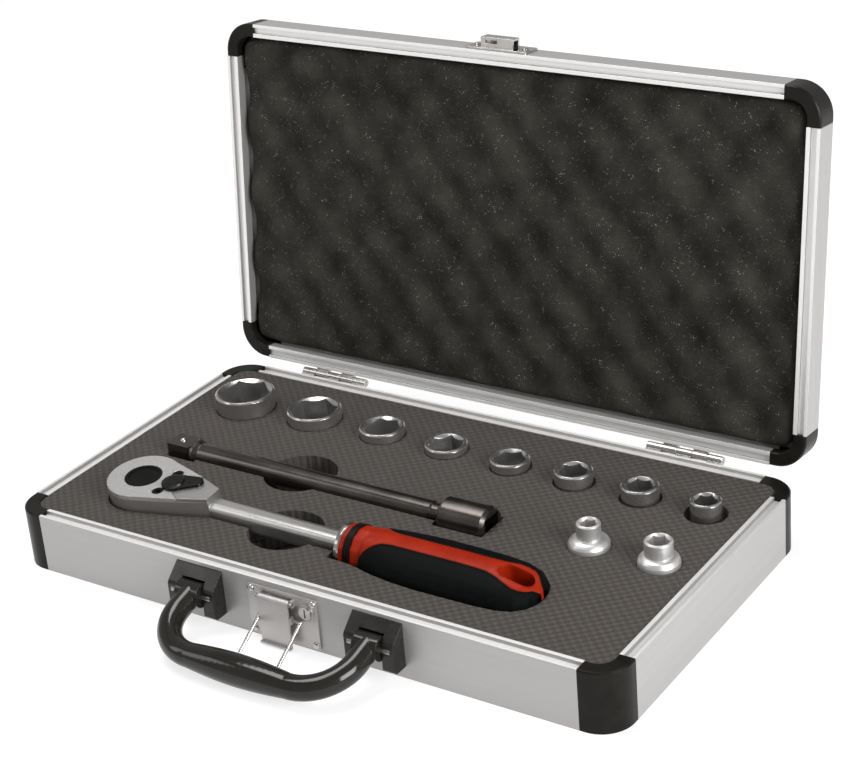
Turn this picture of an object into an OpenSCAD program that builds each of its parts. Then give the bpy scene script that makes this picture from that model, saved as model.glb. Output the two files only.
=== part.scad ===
// Socket wrench set in a metal-framed case.
// Millimetres, +Z up, origin at the centre of the case's underside, front of the case towards -Y.

/* [Case] */
// Width of the case over its side walls
case_w = 370; // [350:1:420]
// Depth of the case over its front and back walls
case_d = 203; // [195:1:240]
// Height of the base, from the underside to the rim
base_h = 33.5; // [32:0.5:42]
// Height of the lid, from its rim to its outer face
lid_h = 15.5; // [15:0.5:24]
// Gap between the two rims when the case is shut
seam = 0.5; // [0.3:0.1:1]
// Plan radius of the corner pieces
corner_r = 17; // [12:1:20]
// Length of a corner piece along each wall
corner_leg = 20; // [18:0.5:30]
// Angle that the lid opens to
lid_open = 96; // [85:1:110]

/* [Frame rails] */
// Thickness of the outer wall of a rail
wall_t = 1.8; // [1.2:0.1:3]
// Width of the base rim
rim_w = 8.5; // [7:0.5:12]
// Width of the lid rim
lid_rim_w = 7.5; // [6.5:0.5:12]
// Thickness of the inner lip of the rim
inner_lip_t = 2.2; // [1.2:0.1:3]
// Depth of the groove along the base rim
groove_depth = 2; // [1:0.1:3]
// Depth of the recessed band along the lid rim
lid_groove_depth = 1.6; // [1:0.1:3]
// Thickness of the web under the groove
web_t = 1.4; // [1:0.1:2.5]
// Depth of the inner lip below the rim
lip_drop = 6; // [5:0.5:8]
// Thickness of the ledge that carries a panel
ledge_t = 1.2; // [0.8:0.1:2]
// Thickness of the bottom panel
panel_t = 3; // [2:0.5:5]
// Thickness of the lid panel
lid_panel_t = 2; // [1.5:0.5:3]
// Clearance round a panel
panel_gap = 0.1; // [0.05:0.05:0.4]
// Length of the tongues that join a corner piece to its rails
tongue_l = 9; // [5:1:15]
// Thickness of those tongues
tongue_t = 2; // [1:0.5:4]

/* [Foam] */
// Depth of the foam tray's face below the rim
foam_drop = 0.5; // [0:0.1:2]
// Gap between the foam tray and the inner lip
foam_gap = 0.1; // [0.1:0.1:1]
// Gap between a pocket's wall and its tool
pocket_gap = 0.4; // [0.3:0.1:1]
// Gap under a tool in its pocket
pocket_floor_gap = 0.3; // [0.2:0.1:1]
// Diameter of the finger recesses
finger_d = 41; // [32:1:46]
// Depth of the finger recesses
finger_depth = 22; // [12:1:25]
// Width of the foam ledge that carries the ratchet's head
seat_w = 3.5; // [2.5:0.5:5]
// Place of the finger recess of the extension bar
bar_finger = [-64, -1];
// Place of the finger recess of the ratchet
ratchet_finger = [-34, -55];
// Gap between the lid foam and the lid's inner lip
lid_foam_gap = 1.5; // [0.5:0.5:4]
// Pitch of the lid foam's waves across the lid
wave_x = 34; // [24:1:50]
// Pitch of the lid foam's waves up the lid
wave_y = 20; // [14:1:40]
// Height of the waves
wave_h = 5; // [2:0.5:8]
// Depth of the lid foam's crests below the lid's rim
crest_drop = 1.5; // [0.5:0.5:4]

/* [Hinges] */
// Distance between the two hinges
hinge_span = 232; // [180:1:270]
// Width of a hinge
hinge_w = 45; // [35:1:60]
// Distance of the hinge axis behind the back wall
hinge_back = 3.5; // [3.2:0.1:5]
// Radius of a hinge barrel
barrel_r = 2.3; // [2:0.1:3]
// Radius of a hinge pin
hinge_pin_r = 1.2; // [0.8:0.1:1.5]
// Height of a base leaf
leaf_h = 16; // [12:1:22]
// Height of a lid leaf
lid_leaf_h = 11; // [8:0.5:13]
// Thickness of the hinge, latch and catch plates
plate_t = 1.2; // [0.8:0.1:1.8]
// Number of knuckles in a hinge
knuckles = 5; // [3:2:7]
// Gap between two knuckles
knuckle_gap = 0.3; // [0.2:0.1:0.6]
// Radial clearance of a hinge pin
pin_fit = 0.05; // [0.02:0.01:0.09]
// Radius of a rivet head
rivet_r = 2; // [1.5:0.1:2.6]
// Height of a rivet head
rivet_h = 0.9; // [0.5:0.1:1.5]

/* [Carry handle] */
// Distance between the two handle arms
handle_span = 110; // [90:1:130]
// Distance of the grip from the pivots
handle_reach = 36.5; // [32:0.5:37]
// Radius of the handle's arms
arm_r = 6.4; // [5:0.1:6.6]
// Radius of the middle of the handle's grip
grip_mid_r = 8.2; // [7:0.1:8.4]
// Bend radius of the handle's centreline
handle_bend = 25; // [18:1:28]
// Height of the pivots over the underside
handle_z = 19.5; // [19.3:0.1:21]
// Distance of the pivots in front of the front wall
handle_out = 8; // [7.9:0.1:10]
// Angle of the handle forward of hanging straight down
handle_tilt = 75; // [74:1:85]
// Radius of the handle's pins
handle_pin_r = 2; // [1.5:0.1:2.5]
// Width of a bracket
bracket_w = 29; // [26:0.5:34]
// Width of the slot in a bracket
bracket_slot = 15; // [14:0.5:18]
// Top of a bracket below the rim
bracket_drop = 2; // [1:0.5:4]
// Height of a bracket's foot over the underside
bracket_foot = 7; // [5:0.5:9]
// Thickness of the roof over a handle's arm
roof_t = 2.2; // [1.5:0.1:3]

/* [Latch] */
// Place of the latch and catch along the front
latch_x = -2.5; // [-12:0.5:12]
// Width of the latch plate
latch_w = 43; // [38:1:50]
// Top of the latch plate below the rim
latch_drop = 3; // [1.5:0.5:5]
// Height of the latch plate's foot over the underside
latch_foot = 1.5; // [0.5:0.5:4]
// Width of the latch lever
lever_w = 18.5; // [16:0.5:20]
// Place of the lever from the middle of the latch
lever_x = -2.3; // [-4:0.1:-1.5]
// Distance of the lever's pivot in front of the wall
lever_out = 4.2; // [3.8:0.1:5]
// Distance of the lever's pivot below the rim
lever_pivot_drop = 7; // [5:0.5:9]
// Radius of the lever's barrel
lever_barrel_r = 1.9; // [1.6:0.1:2.2]
// Length of the lever below its pivot
lever_l = 25.5; // [22:0.5:26]
// Thickness of the lever
lever_t = 1.1; // [0.8:0.1:1.5]
// Radius of the lever's pin
lever_pin_r = 1; // [0.7:0.1:1.3]
// Width of the wire bail between the centres of its legs
bail_w = 24.7; // [23.5:0.1:26]
// Length of the bail
bail_l = 27; // [24:0.5:27.5]
// Radius of the bail's wire
bail_r = 0.9; // [0.7:0.1:1]
// Distance of the bail's pivot below the lever's pivot
bail_drop = 10; // [9:0.5:12]
// Angle of the bail forward of hanging straight down
bail_tilt = 58; // [57:1:64]
// Radius of the lock's barrel
lock_r = 3.6; // [3:0.1:4.2]
// Width of the raised bezel round the lock
bezel_w = 1; // [0.7:0.1:1]
// Width of the catch plate
catch_w = 38; // [32:1:44]
// Width of the catch's hook
hook_w = 20; // [16:0.5:21]
// Height of the catch's hook over its plate
hook_h = 5.6; // [4.5:0.1:7]
// Depth of the catch's hook along the lid wall
hook_d = 7; // [5:0.5:8]

/* [Ratchet] */
// Place of the drive axis of the ratchet
ratchet_at = [-128, -55.2];
// Height of the axis of the grip over the foam
ratchet_up = 0.6; // [0:0.1:0.8]
// Angle that the ratchet lies rolled towards the front
ratchet_roll = 5; // [0:1:12]
// Radius of the round part of the head
head_r = 20; // [18:0.5:22]
// Distance of the head's shoulders from the drive axis
shoulder_x = 32; // [28:1:36]
// Half the width of the head at its shoulders
shoulder_w = 11.5; // [10:0.5:13]
// Distance of the start of the neck from the drive axis
neck_x = 48; // [44:1:52]
// Height of the head's face over the axis of the grip
face_h = 10.5; // [8:0.5:10.5]
// Thickness of the head
head_t = 20; // [18:0.5:22]
// Thickness of the cover plate
cover_t = 2; // [1:0.25:3]
// Reach of the notch in the cover plate
notch_x = 14; // [13.5:0.5:17]
// Place of the cover screws
cover_screw = [17, 8.8];
// Radius of the cover screws
cover_screw_r = 3.2; // [2.2:0.1:3.4]
// Width of the neck
neck_w = 11; // [9:0.5:13]
// Height of the neck
neck_t = 12.5; // [10:0.5:13]
// Distance of the collar from the drive axis
collar_x = 131; // [120:1:140]
// Length of the collar
collar_l = 5; // [3:0.5:8]
// Length of the grip
grip_l = 112.5; // [105:0.5:125]
// Half the width of the grip at its widest
grip_w = 19.8; // [16:0.2:21]
// Half the height of the grip at its thickest
grip_t = 12.8; // [11:0.2:13]
// Radius of the grip at the collar
grip_start_r = 12.8; // [11:0.2:13]
// Thickness of the soft pads
pad_t = 2.2; // [1:0.1:3]
// Half the width of the spine between the pads
spine_w = 5; // [3:0.5:8]
// Distance of the groove for the ring from the start of the grip
ring_at = 3; // [2:0.5:6]
// Width of the ring
ring_w = 4; // [2:0.5:5]
// Height of the ring over the start of the grip
ring_over = 0.4; // [0.2:0.1:0.6]
// Half the width of the hanging hole
hang_w = 5; // [3:0.5:6]
// Length of the hanging hole
hang_l = 19; // [14:0.5:22]
// Radius of the gear over its teeth
gear_r = 13.8; // [13:0.1:14]
// Number of teeth of the gear
gear_teeth = 36; // [24:1:48]
// Depth of the gear's teeth
tooth_h = 0.9; // [0.6:0.1:1.2]
// Running clearance inside the head
run_fit = 0.1; // [0.05:0.05:0.2]
// Radius of the release button
button_r = 10.2; // [9:0.1:10.4]
// Travel of the release button
button_travel = 1.5; // [1:0.1:1.6]
// Distance of the reversing lever's pivot from the drive axis
switch_x = 22; // [21:0.5:24]
// Length of the reversing lever's tail
switch_l = 14; // [10:0.5:16]
// Angle that the reversing lever stands at
switch_turn = 25; // [0:1:30]
// Height of the reversing lever
switch_t = 2.2; // [1.8:0.2:2.4]

/* [Drive squares] */
// Side of the drive squares
drive_sq = 12.6; // [12.4:0.05:12.7]
// Side of the square sockets
square_hole = 12.9; // [12.8:0.05:13.2]
// Length of the drive squares
drive_l = 15; // [12:0.5:16]

/* [Extension bar] */
// Place of the middle of the extension bar
bar_at = [-43, -6.5];
// Length of the extension bar
bar_l = 210; // [150:1:225]
// Radius of the bar
bar_r = 6.4; // [5.5:0.1:7]
// Radius of the female end
bar_end_r = 11; // [10.5:0.1:12]
// Length of the female end
bar_end_l = 28; // [22:1:40]
// Length of the neck before the female end
bar_neck_l = 8; // [4:0.5:12]
// Radius of the detent ball
ball_r = 2; // [1.5:0.1:2.5]

/* [Sockets] */
// Across-flats size of each socket
socket_hex = [27, 24, 19, 17, 16, 14, 13, 11, 8, 10];
// Radius of each socket's mouth
socket_r = [17.3, 15.8, 13, 12, 11, 10.5, 10.2, 8.3, 6.3, 7.3];
// Radius of each socket's drive end
socket_drive_r = [14, 13, 12, 11.5, 11.3, 11.1, 11, 11, 11, 11];
// Length of each socket
socket_len = [38.5, 35, 33.5, 32.5, 33.5, 35.5, 36, 36.5, 38, 38];
// Height of each socket's mouth over the foam
socket_proud = [10.5, 7, 5.5, 4.5, 5.5, 7.5, 8, 8.5, 13.6, 13.6];
// Height at which each socket changes from its drive end to its mouth
socket_step = [18, 17, 17, 17, 17, 17, 17, 17, 25, 25];
// Length of that change
socket_blend = [4, 4, 3, 3, 3, 3, 3, 4, 4.5, 4.5];
// Place of each socket along the case
socket_x = [-142.2, -95.8, -49, -5.8, 36.4, 76.2, 116, 154.3, 116, 155.5];
// Place of each socket across the case
socket_y = [52, 56.2, 56.6, 56, 54.2, 53.6, 53.2, 52.5, -1.2, -1.6];
// Turn of each socket in its pocket
socket_turn = [20, 35, 12, 45, 20, 35, 10, 25, 15, 25];
// Depth of the square in a socket
square_depth = 14; // [12:0.5:16]
// Chamfer at a socket's ends
socket_chamfer = 0.8; // [0.3:0.1:1.2]

/* [Hidden] */
$fn = 64;
// Small overlap used where two shapes of one piece join
eps = 0.02;

case_h = base_h + seam + lid_h;
foam_top = base_h - foam_drop;
front_y = -case_d / 2;
back_y = case_d / 2;
hinge_y = back_y + hinge_back;
hinge_z = base_h + seam / 2 + 0.4;
knuckle_w = hinge_w / knuckles;
pivot_y = front_y - handle_out;
lever_y = front_y - lever_out;
lever_z = base_h - lever_pivot_drop;
bail_y = front_y - plate_t - bail_r - 0.7;
bail_z = lever_z - bail_drop;
lever_left = latch_x + lever_x - lever_w / 2;
bail_left = lever_left - bail_r - 0.3;
head_floor = face_h - head_t;
bar_start = bar_at[0] - bar_l / 2;

// ---- shared shapes ----

module rounded_rect(w, d, r) {
    square([w - 2 * r, d], center = true);
    square([w, d - 2 * r], center = true);
    for (sx = [-1, 1], sy = [-1, 1])
        translate([sx * (w / 2 - r), sy * (d / 2 - r)])
            circle(r);
}

// Puts what is drawn in the plane x, y with its height along z into the plane x, z of a wall
module stand() {
    rotate([90, 0, 0])
        children();
}

// Lays an axis that points up along +X
module along_x() {
    rotate([0, 90, 0])
        children();
}

// Section of a rail: t runs inwards from the outer face, z from the panel's face to the rim
function rail_section(h, rim, groove, panel) = [
    [0, 0], [0, h], [wall_t, h], [wall_t, h - groove], [rim - inner_lip_t, h - groove],
    [rim - inner_lip_t, h], [rim, h], [rim, h - lip_drop], [rim - web_t, h - lip_drop],
    [rim - web_t, h - groove - web_t], [wall_t, h - groove - web_t],
    [wall_t, panel + ledge_t], [rim - web_t, panel + ledge_t], [rim - web_t, panel],
    [wall_t, panel], [wall_t, 0]];

// Section of a corner piece: as the rail, with the groove filled and the edge eased
function corner_section(h, rim, panel) = [
    [0, 0], [0, h - 0.8], [0.8, h], [rim - 0.6, h], [rim, h - 0.6], [rim, h - lip_drop],
    [rim - web_t, h - lip_drop], [rim - web_t, h - lip_drop / 2], [wall_t, h - lip_drop / 2],
    [wall_t, panel + ledge_t], [rim - web_t, panel + ledge_t], [rim - web_t, panel],
    [wall_t, panel], [wall_t, 0]];

// A rail along X in front of the middle, its outer face at y = -d / 2
module rail(l, d, h, rim, groove, panel) {
    translate([-l / 2, -d / 2, 0])
        rotate([90, 0, 90])
            linear_extrude(l)
                polygon(rail_section(h, rim, groove, panel));
}

module front_rail(h, rim, groove, panel) {
    rail(case_w - 2 * corner_leg, case_d, h, rim, groove, panel);
}

module side_rail(h, rim, groove, panel) {
    rotate([0, 0, -90])
        rail(case_d - 2 * corner_leg, case_w, h, rim, groove, panel);
}

// Corner piece of the front left corner, with tongues that enter the two rails
module corner(h, rim, panel, groove) {
    straight = corner_leg - corner_r;
    tongue_z0 = panel + ledge_t + 0.4;
    tongue_z1 = h - groove - web_t - 0.4;
    translate([-case_w / 2 + corner_r, -case_d / 2 + corner_r, 0])
        rotate([0, 0, 180])
            rotate_extrude(angle = 90)
                polygon([for (p = corner_section(h, rim, panel)) [corner_r - p[0], p[1]]]);
    for (m = [0, 1])
        translate([-case_w / 2 + corner_r, -case_d / 2 + corner_r, 0])
            mirror([m, -m, 0]) {
                translate([-eps, -corner_r, 0])
                    rotate([90, 0, 90])
                        linear_extrude(straight + eps)
                            polygon(corner_section(h, rim, panel));
                translate([0, -corner_r + wall_t + 0.05, tongue_z0])
                    cube([straight + tongue_l, tongue_t, tongue_z1 - tongue_z0]);
                translate([0, -corner_r + wall_t - eps, tongue_z0])
                    cube([straight - 0.5, tongue_t, tongue_z1 - tongue_z0]);
            }
}

module base_part(sx, sy) {
    mirror([sx, 0, 0])
        mirror([0, sy, 0])
            corner(base_h, rim_w, panel_t, groove_depth);
}

// Puts the shut lid, drawn with its rim upwards from its outer face, on the base
module lid_shell() {
    translate([0, 0, case_h])
        mirror([0, 0, 1])
            children();
}

// Turns what is drawn on the shut lid to the opened place
module on_lid() {
    translate([0, hinge_y, hinge_z])
        rotate([-lid_open, 0, 0])
            translate([0, -hinge_y, -hinge_z])
                children();
}

module lid_corner(sx, sy) {
    on_lid()
        lid_shell()
            mirror([sx, 0, 0])
                mirror([0, sy, 0])
                    corner(lid_h, lid_rim_w, lid_panel_t, lid_groove_depth);
}

// A domed rivet head that stands on the plane z = 0
module rivet_head() {
    rotate_extrude($fn = 24)
        polygon([[0, 0], [rivet_r, 0], [rivet_r * 0.85, rivet_h * 0.6],
                 [rivet_r * 0.5, rivet_h * 0.95], [0, rivet_h]]);
}

// ---- base of the case ----

module base_panel() {
    inset = wall_t + panel_gap;
    color("#3a3836")
        linear_extrude(panel_t)
            rounded_rect(case_w - 2 * inset, case_d - 2 * inset, corner_r - inset);
}

module base_front_rail() {
    color("#b9b6b4")
        front_rail(base_h, rim_w, groove_depth, panel_t);
}

module base_back_rail() {
    color("#b9b6b4")
        rotate([0, 0, 180])
            front_rail(base_h, rim_w, groove_depth, panel_t);
}

module base_left_rail() {
    color("#c4c1c0")
        side_rail(base_h, rim_w, groove_depth, panel_t);
}

module base_right_rail() {
    color("#c4c1c0")
        rotate([0, 0, 180])
            side_rail(base_h, rim_w, groove_depth, panel_t);
}

// Height at which each socket stands on its foam
function socket_floor(i) = foam_top + socket_proud[i] - socket_len[i];

function pocket_r(i) = max(socket_r[i], socket_drive_r[i]) + pocket_gap;

// Face between the die-cut tray and the plain sheet below it
sheet_top = min([for (i = [0 : len(socket_hex) - 1]) socket_floor(i)]) - pocket_floor_gap;

module socket_pocket(i) {
    translate([socket_x[i], socket_y[i], sheet_top - 1])
        cylinder(r = pocket_r(i), h = foam_top - sheet_top + 2);
}

// Outline of the ratchet's head, grown by g
module head_outline(g) {
    r = head_r + g;
    s = [shoulder_x + g, shoulder_w + g];
    t = atan2(s[1], s[0]) + acos(r / norm(s));
    circle(r);
    polygon([[0, 0], r * [cos(t), sin(t)], s, [neck_x + g, neck_w / 2 + g],
             [neck_x + g, -neck_w / 2 - g], [s[0], -s[1]], r * [cos(t), -sin(t)]]);
}

// Pocket of the ratchet: it goes straight up, so it allows for the roll
module ratchet_pocket() {
    lean = sin(ratchet_roll);
    grip_x = collar_x - 2;
    axis_z = foam_top + ratchet_up;
    head_z = axis_z - head_r * lean - cos(ratchet_roll) * (head_t - face_h) - pocket_floor_gap;
    drive_reach = head_t - face_h + drive_l;
    grip_z = axis_z - sqrt(pow(grip_w * lean, 2) + pow(max(grip_t, grip_start_r + ring_over) * cos(ratchet_roll), 2))
             - pocket_floor_gap;
    sway = face_h * lean;
    translate([ratchet_at[0], ratchet_at[1], 0]) {
        translate([0, (head_t - 2 * face_h) / 2 * lean + pocket_gap, head_z])
            linear_extrude(case_h)
                head_outline(pocket_gap + head_t / 2 * lean);
        translate([0, drive_reach / 2 * lean, sheet_top - 1])
            cylinder(r = head_r - seat_w, h = case_h);
        translate([neck_x - 2, -neck_w / 2 - sway - pocket_gap, grip_z])
            cube([grip_x - neck_x + 4, neck_w + 2 * sway + 2 * pocket_gap, case_h]);
        translate([grip_x0, 0, grip_z])
            linear_extrude(case_h)
                grip_outline(pocket_gap + 0.3);
    }
}

// Plan of the grip and its collar, grown by g, starting at the grip
module grip_outline(g) {
    polygon(concat([for (s = grip_stations) [s[0] * grip_l, s[1] + g]],
                   [[grip_l + g, 0]],
                   [for (i = [len(grip_stations) - 1 : -1 : 0])
                       [grip_stations[i][0] * grip_l, -grip_stations[i][1] - g]]));
    translate([-collar_l - 2, -grip_start_r - g])
        square([collar_l + 3, 2 * (grip_start_r + g)]);
}

module bar_pocket() {
    w = bar_r + pocket_gap;
    z = foam_top - bar_r - pocket_floor_gap;
    e = bar_end_r + pocket_gap;
    translate([bar_start - pocket_gap, bar_at[1] - w, z - 0.6])
        cube([bar_l - bar_end_l, 2 * w, case_h]);
    translate([bar_start - pocket_gap, bar_at[1] - drive_sq * 0.72 - pocket_gap,
               foam_top - drive_sq * 0.72 - pocket_floor_gap])
        cube([drive_l + 5 + 2 * pocket_gap, drive_sq * 1.44 + 2 * pocket_gap, case_h]);
    translate([bar_start + bar_l - bar_end_l - 2 - pocket_gap, bar_at[1] - e,
               foam_top - bar_end_r - pocket_floor_gap])
        cube([bar_end_l + 2 + 2 * pocket_gap, 2 * e, case_h]);
}

module finger_recess(p) {
    translate([p[0], p[1], foam_top - finger_depth])
        cylinder(d = finger_d, h = finger_depth + 1);
}

// A layer of the tray's foam between two heights
module foam_layer(z0, z1) {
    inset = rim_w + foam_gap;
    translate([0, 0, z0])
        linear_extrude(z1 - z0)
            rounded_rect(case_w - 2 * inset, case_d - 2 * inset, corner_r - inset);
}

module foam_tray() {
    color("#544f4b")
        difference() {
            foam_layer(sheet_top, foam_top);
            for (i = [0 : len(socket_hex) - 1])
                socket_pocket(i);
            ratchet_pocket();
            bar_pocket();
            finger_recess(bar_finger);
            finger_recess(ratchet_finger);
        }
}

module foam_base() {
    color("#4a4642")
        foam_layer(panel_t, sheet_top);
}

// Round foam discs that lift the shorter sockets
module foam_spacers() {
    color("#4a4642")
        for (i = [0 : len(socket_hex) - 1])
            if (socket_floor(i) - pocket_floor_gap > sheet_top + 0.3)
                translate([socket_x[i], socket_y[i], sheet_top])
                    cylinder(r = pocket_r(i) - 0.1,
                             h = socket_floor(i) - pocket_floor_gap - sheet_top);
}

// ---- hinges ----

// Knuckles of one hinge from first to last in steps of two, and the tabs to their leaf
module hinge_half(first, leaf_dir, leaf) {
    x0 = -hinge_w / 2;
    for (k = [first : 2 : knuckles - 1])
        translate([x0 + k * knuckle_w + (k > 0 ? knuckle_gap / 2 : 0), 0, 0]) {
            w = knuckle_w - (k > 0 ? knuckle_gap / 2 : 0)
                - (k < knuckles - 1 ? knuckle_gap / 2 : 0);
            difference() {
                union() {
                    along_x()
                        cylinder(r = barrel_r, h = w, $fn = 32);
                    translate([0, -hinge_back, leaf_dir > 0 ? 0.2 : -barrel_r - 1.5])
                        cube([w, plate_t + 0.4, barrel_r + 1.3]);
                    translate([0, -hinge_back, leaf_dir > 0 ? barrel_r - 1.1 : -barrel_r + 0.2])
                        cube([w, hinge_back, 0.9]);
                }
                translate([-1, 0, 0])
                    along_x()
                        cylinder(r = hinge_pin_r + pin_fit, h = w + 2, $fn = 32);
            }
        }
    translate([x0, -hinge_back, leaf_dir > 0 ? barrel_r + 1.4 : -barrel_r - 1.4 - leaf])
        cube([hinge_w, plate_t, leaf]);
}

module at_hinges() {
    for (s = [-1, 1])
        translate([s * hinge_span / 2, hinge_y, hinge_z])
            children();
}

module hinge_base_leaves() {
    color("#c9c7c4")
        at_hinges()
            hinge_half(0, -1, leaf_h - barrel_r - 1.4);
}

module hinge_lid_leaves() {
    color("#c9c7c4")
        on_lid()
            at_hinges()
                hinge_half(1, 1, lid_leaf_h - barrel_r - 1.4);
}

module hinge_pins() {
    color("#8f8d8b")
        at_hinges()
            translate([-hinge_w / 2, 0, 0])
                along_x()
                    cylinder(r = hinge_pin_r, h = hinge_w, $fn = 32);
}

// ---- handle ----

// Side view of a bracket's cheek, as distance from the wall and height
function cheek_section() = [
    [0, bracket_foot], [handle_out, bracket_foot],
    [handle_out + 1.5, bracket_foot + 1.5], [handle_out + 1.5, base_h - bracket_drop - 9],
    [handle_out + 0.5, base_h - bracket_drop - 7.5], [0, base_h - bracket_drop]];

// Roof of a bracket, clear of the arm's eye
function roof_section() = [
    [0, base_h - bracket_drop], [0, bracket_foot + 4], [plate_t, bracket_foot + 4],
    [plate_t, handle_z + arm_r + 0.4], [4.5, handle_z + arm_r + 0.4],
    [5.5, base_h - bracket_drop - 4.9]];

module bracket(x) {
    cheek_w = (bracket_w - bracket_slot) / 2;
    difference() {
        translate([x - bracket_w / 2, front_y, 0]) {
            for (dx = [0, bracket_w - cheek_w])
                translate([dx, 0, 0])
                    rotate([90, 0, 90])
                        linear_extrude(cheek_w)
                            polygon([for (p = cheek_section()) [-p[0], p[1]]]);
            translate([cheek_w - eps, 0, 0])
                rotate([90, 0, 90])
                    linear_extrude(bracket_slot + 2 * eps)
                        polygon([for (p = roof_section()) [-p[0], p[1]]]);
        }
        translate([x - bracket_w / 2 + 2, pivot_y, handle_z])
            along_x()
                cylinder(r = handle_pin_r + pin_fit / 2, h = bracket_w - 4, $fn = 48);
    }
}

module handle_bracket_left() {
    color("#2a2724")
        bracket(-handle_span / 2);
}

module handle_bracket_right() {
    color("#2a2724")
        bracket(handle_span / 2);
}

module handle_pins() {
    color("#8f8d8b")
        for (s = [-1, 1])
            translate([s * handle_span / 2 - bracket_w / 2 + 2, pivot_y, handle_z])
                along_x()
                    cylinder(r = handle_pin_r, h = bracket_w - 4, $fn = 48);
}

module on_handle() {
    translate([0, pivot_y, handle_z])
        rotate([-handle_tilt, 0, 0])
            children();
}

// Radius of the grip at a distance from its middle, as a share of its half length
function grip_swell(s) = arm_r + (grip_mid_r - arm_r) * cos(90 * s);

module carry_handle() {
    eye_w = bracket_slot - 1;
    half = handle_span / 2;
    mid = half - handle_bend;
    color("#2f2c28")
        on_handle()
            difference() {
                union() {
                    for (m = [0, 1])
                        mirror([m, 0, 0]) {
                            translate([half - eye_w / 2, 0, 0])
                                along_x()
                                    cylinder(r = arm_r, h = eye_w, $fn = 48);
                            translate([half, 0, handle_bend - handle_reach])
                                cylinder(r = arm_r, h = handle_reach - handle_bend, $fn = 48);
                            translate([mid, 0, handle_bend - handle_reach])
                                rotate([90, 0, 0])
                                    rotate_extrude(angle = -90, $fn = 64)
                                        translate([handle_bend, 0])
                                            circle(arm_r, $fn = 48);
                        }
                    translate([-mid, 0, -handle_reach])
                        along_x()
                            rotate_extrude($fn = 48)
                                polygon(concat([[0, 0]],
                                    [for (s = [-1 : 0.125 : 1]) [grip_swell(s), mid * (s + 1)]],
                                    [[0, 2 * mid]]));
                }
                for (s = [-1, 1])
                    translate([s * half - eye_w, 0, 0])
                        along_x()
                            cylinder(r = handle_pin_r + pin_fit, h = 2 * eye_w, $fn = 48);
            }
}

// ---- latch and catch ----

lock_x = latch_x + 15;
lock_z = base_h - latch_drop - 8;

module latch_plate() {
    top = base_h - latch_drop;
    color("#b4b2ae")
        difference() {
            translate([latch_x, front_y, (latch_foot + top) / 2])
                stand()
                    linear_extrude(plate_t)
                        rounded_rect(latch_w, top - latch_foot, 1.5);
            translate([lock_x, front_y + 1, lock_z])
                stand()
                    cylinder(r = lock_r + pin_fit, h = plate_t + 2);
        }
}

// The two ears that carry the lever's pin
module latch_ears() {
    color("#b4b2ae")
        for (x = [lever_left - 1.6 - 0.3, lever_left + lever_w + 0.3])
            difference() {
                translate([x, front_y - lever_out, lever_z - lever_barrel_r])
                    cube([1.6, lever_out - plate_t, 2 * lever_barrel_r]);
                translate([x - 1, lever_y, lever_z])
                    along_x()
                        cylinder(r = lever_pin_r + pin_fit / 2, h = 4, $fn = 32);
            }
}

module lock_bezel() {
    color("#bdbbb7")
        translate([lock_x, front_y - plate_t, lock_z])
            stand()
                difference() {
                    cylinder(r = lock_r + bezel_w, h = 1);
                    translate([0, 0, -1])
                        cylinder(r = lock_r + pin_fit, h = 3);
                }
}

module latch_pin() {
    color("#8f8d8b")
        translate([lever_left - 1.9, lever_y, lever_z])
            along_x()
                cylinder(r = lever_pin_r, h = lever_w + 3.8, $fn = 32);
}

// Distance of the lever's flap in front of its pivot's axis
flap_out = lever_barrel_r - lever_t;

module latch_lever() {
    color("#c2c0bc")
        difference() {
            union() {
                translate([lever_left, lever_y, lever_z])
                    along_x()
                        cylinder(r = lever_barrel_r, h = lever_w, $fn = 32);
                translate([lever_left, lever_y - lever_barrel_r, lever_z - lever_l])
                    cube([lever_w, lever_t, lever_l]);
                translate([lever_left, lever_y - lever_barrel_r - 1.6, lever_z - lever_l])
                    cube([lever_w, 1.6 + eps, lever_t]);
                for (x = [lever_left, lever_left + lever_w - 1.2])
                    translate([x, lever_y - flap_out - eps, bail_z - 2])
                        cube([1.2, bail_y - lever_y + flap_out + bail_r + 0.2, 4]);
            }
            translate([lever_left - 1, lever_y, lever_z])
                along_x()
                    cylinder(r = lever_pin_r + pin_fit, h = lever_w + 2, $fn = 32);
            translate([lever_left - 1, bail_y, bail_z])
                along_x()
                    cylinder(r = bail_r + pin_fit, h = lever_w + 2, $fn = 32);
        }
}

module latch_bail() {
    color("#b8b6b2")
        translate([bail_left, bail_y, bail_z])
            rotate([-bail_tilt, 0, 0]) {
                along_x()
                    cylinder(r = bail_r, h = bail_w, $fn = 32);
                for (x = [0, bail_w]) {
                    translate([x, 0, -bail_l])
                        cylinder(r = bail_r, h = bail_l, $fn = 32);
                    for (z = [0, -bail_l])
                        translate([x, 0, z])
                            sphere(bail_r, $fn = 32);
                }
                translate([0, 0, -bail_l])
                    along_x()
                        cylinder(r = bail_r, h = bail_w, $fn = 32);
            }
}

module lock_barrel() {
    color("#a9a7a3")
        translate([lock_x, front_y - plate_t - 0.1, lock_z])
            stand()
                difference() {
                    cylinder(r = lock_r, h = 1.6);
                    translate([-0.5, -lock_r * 0.65, 0.6])
                        cube([1, lock_r * 1.3, 2]);
                }
}

module base_rivets() {
    color("#c9c7c4") {
        for (s = [-1, 1], dx = [-1, 0, 1])
            translate([s * hinge_span / 2 + dx * hinge_w * 0.36, back_y + plate_t,
                       hinge_z - leaf_h + 5])
                rotate([-90, 0, 0])
                    rivet_head();
        for (sx = [-1, 1], z = [latch_foot + 2.6, base_h - latch_drop - 2.6])
            translate([latch_x + sx * (latch_w / 2 - 2.5), front_y - plate_t, z])
                stand()
                    rivet_head();
    }
}

catch_foot = base_h + seam + 1;
catch_top = case_h - 1;

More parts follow.
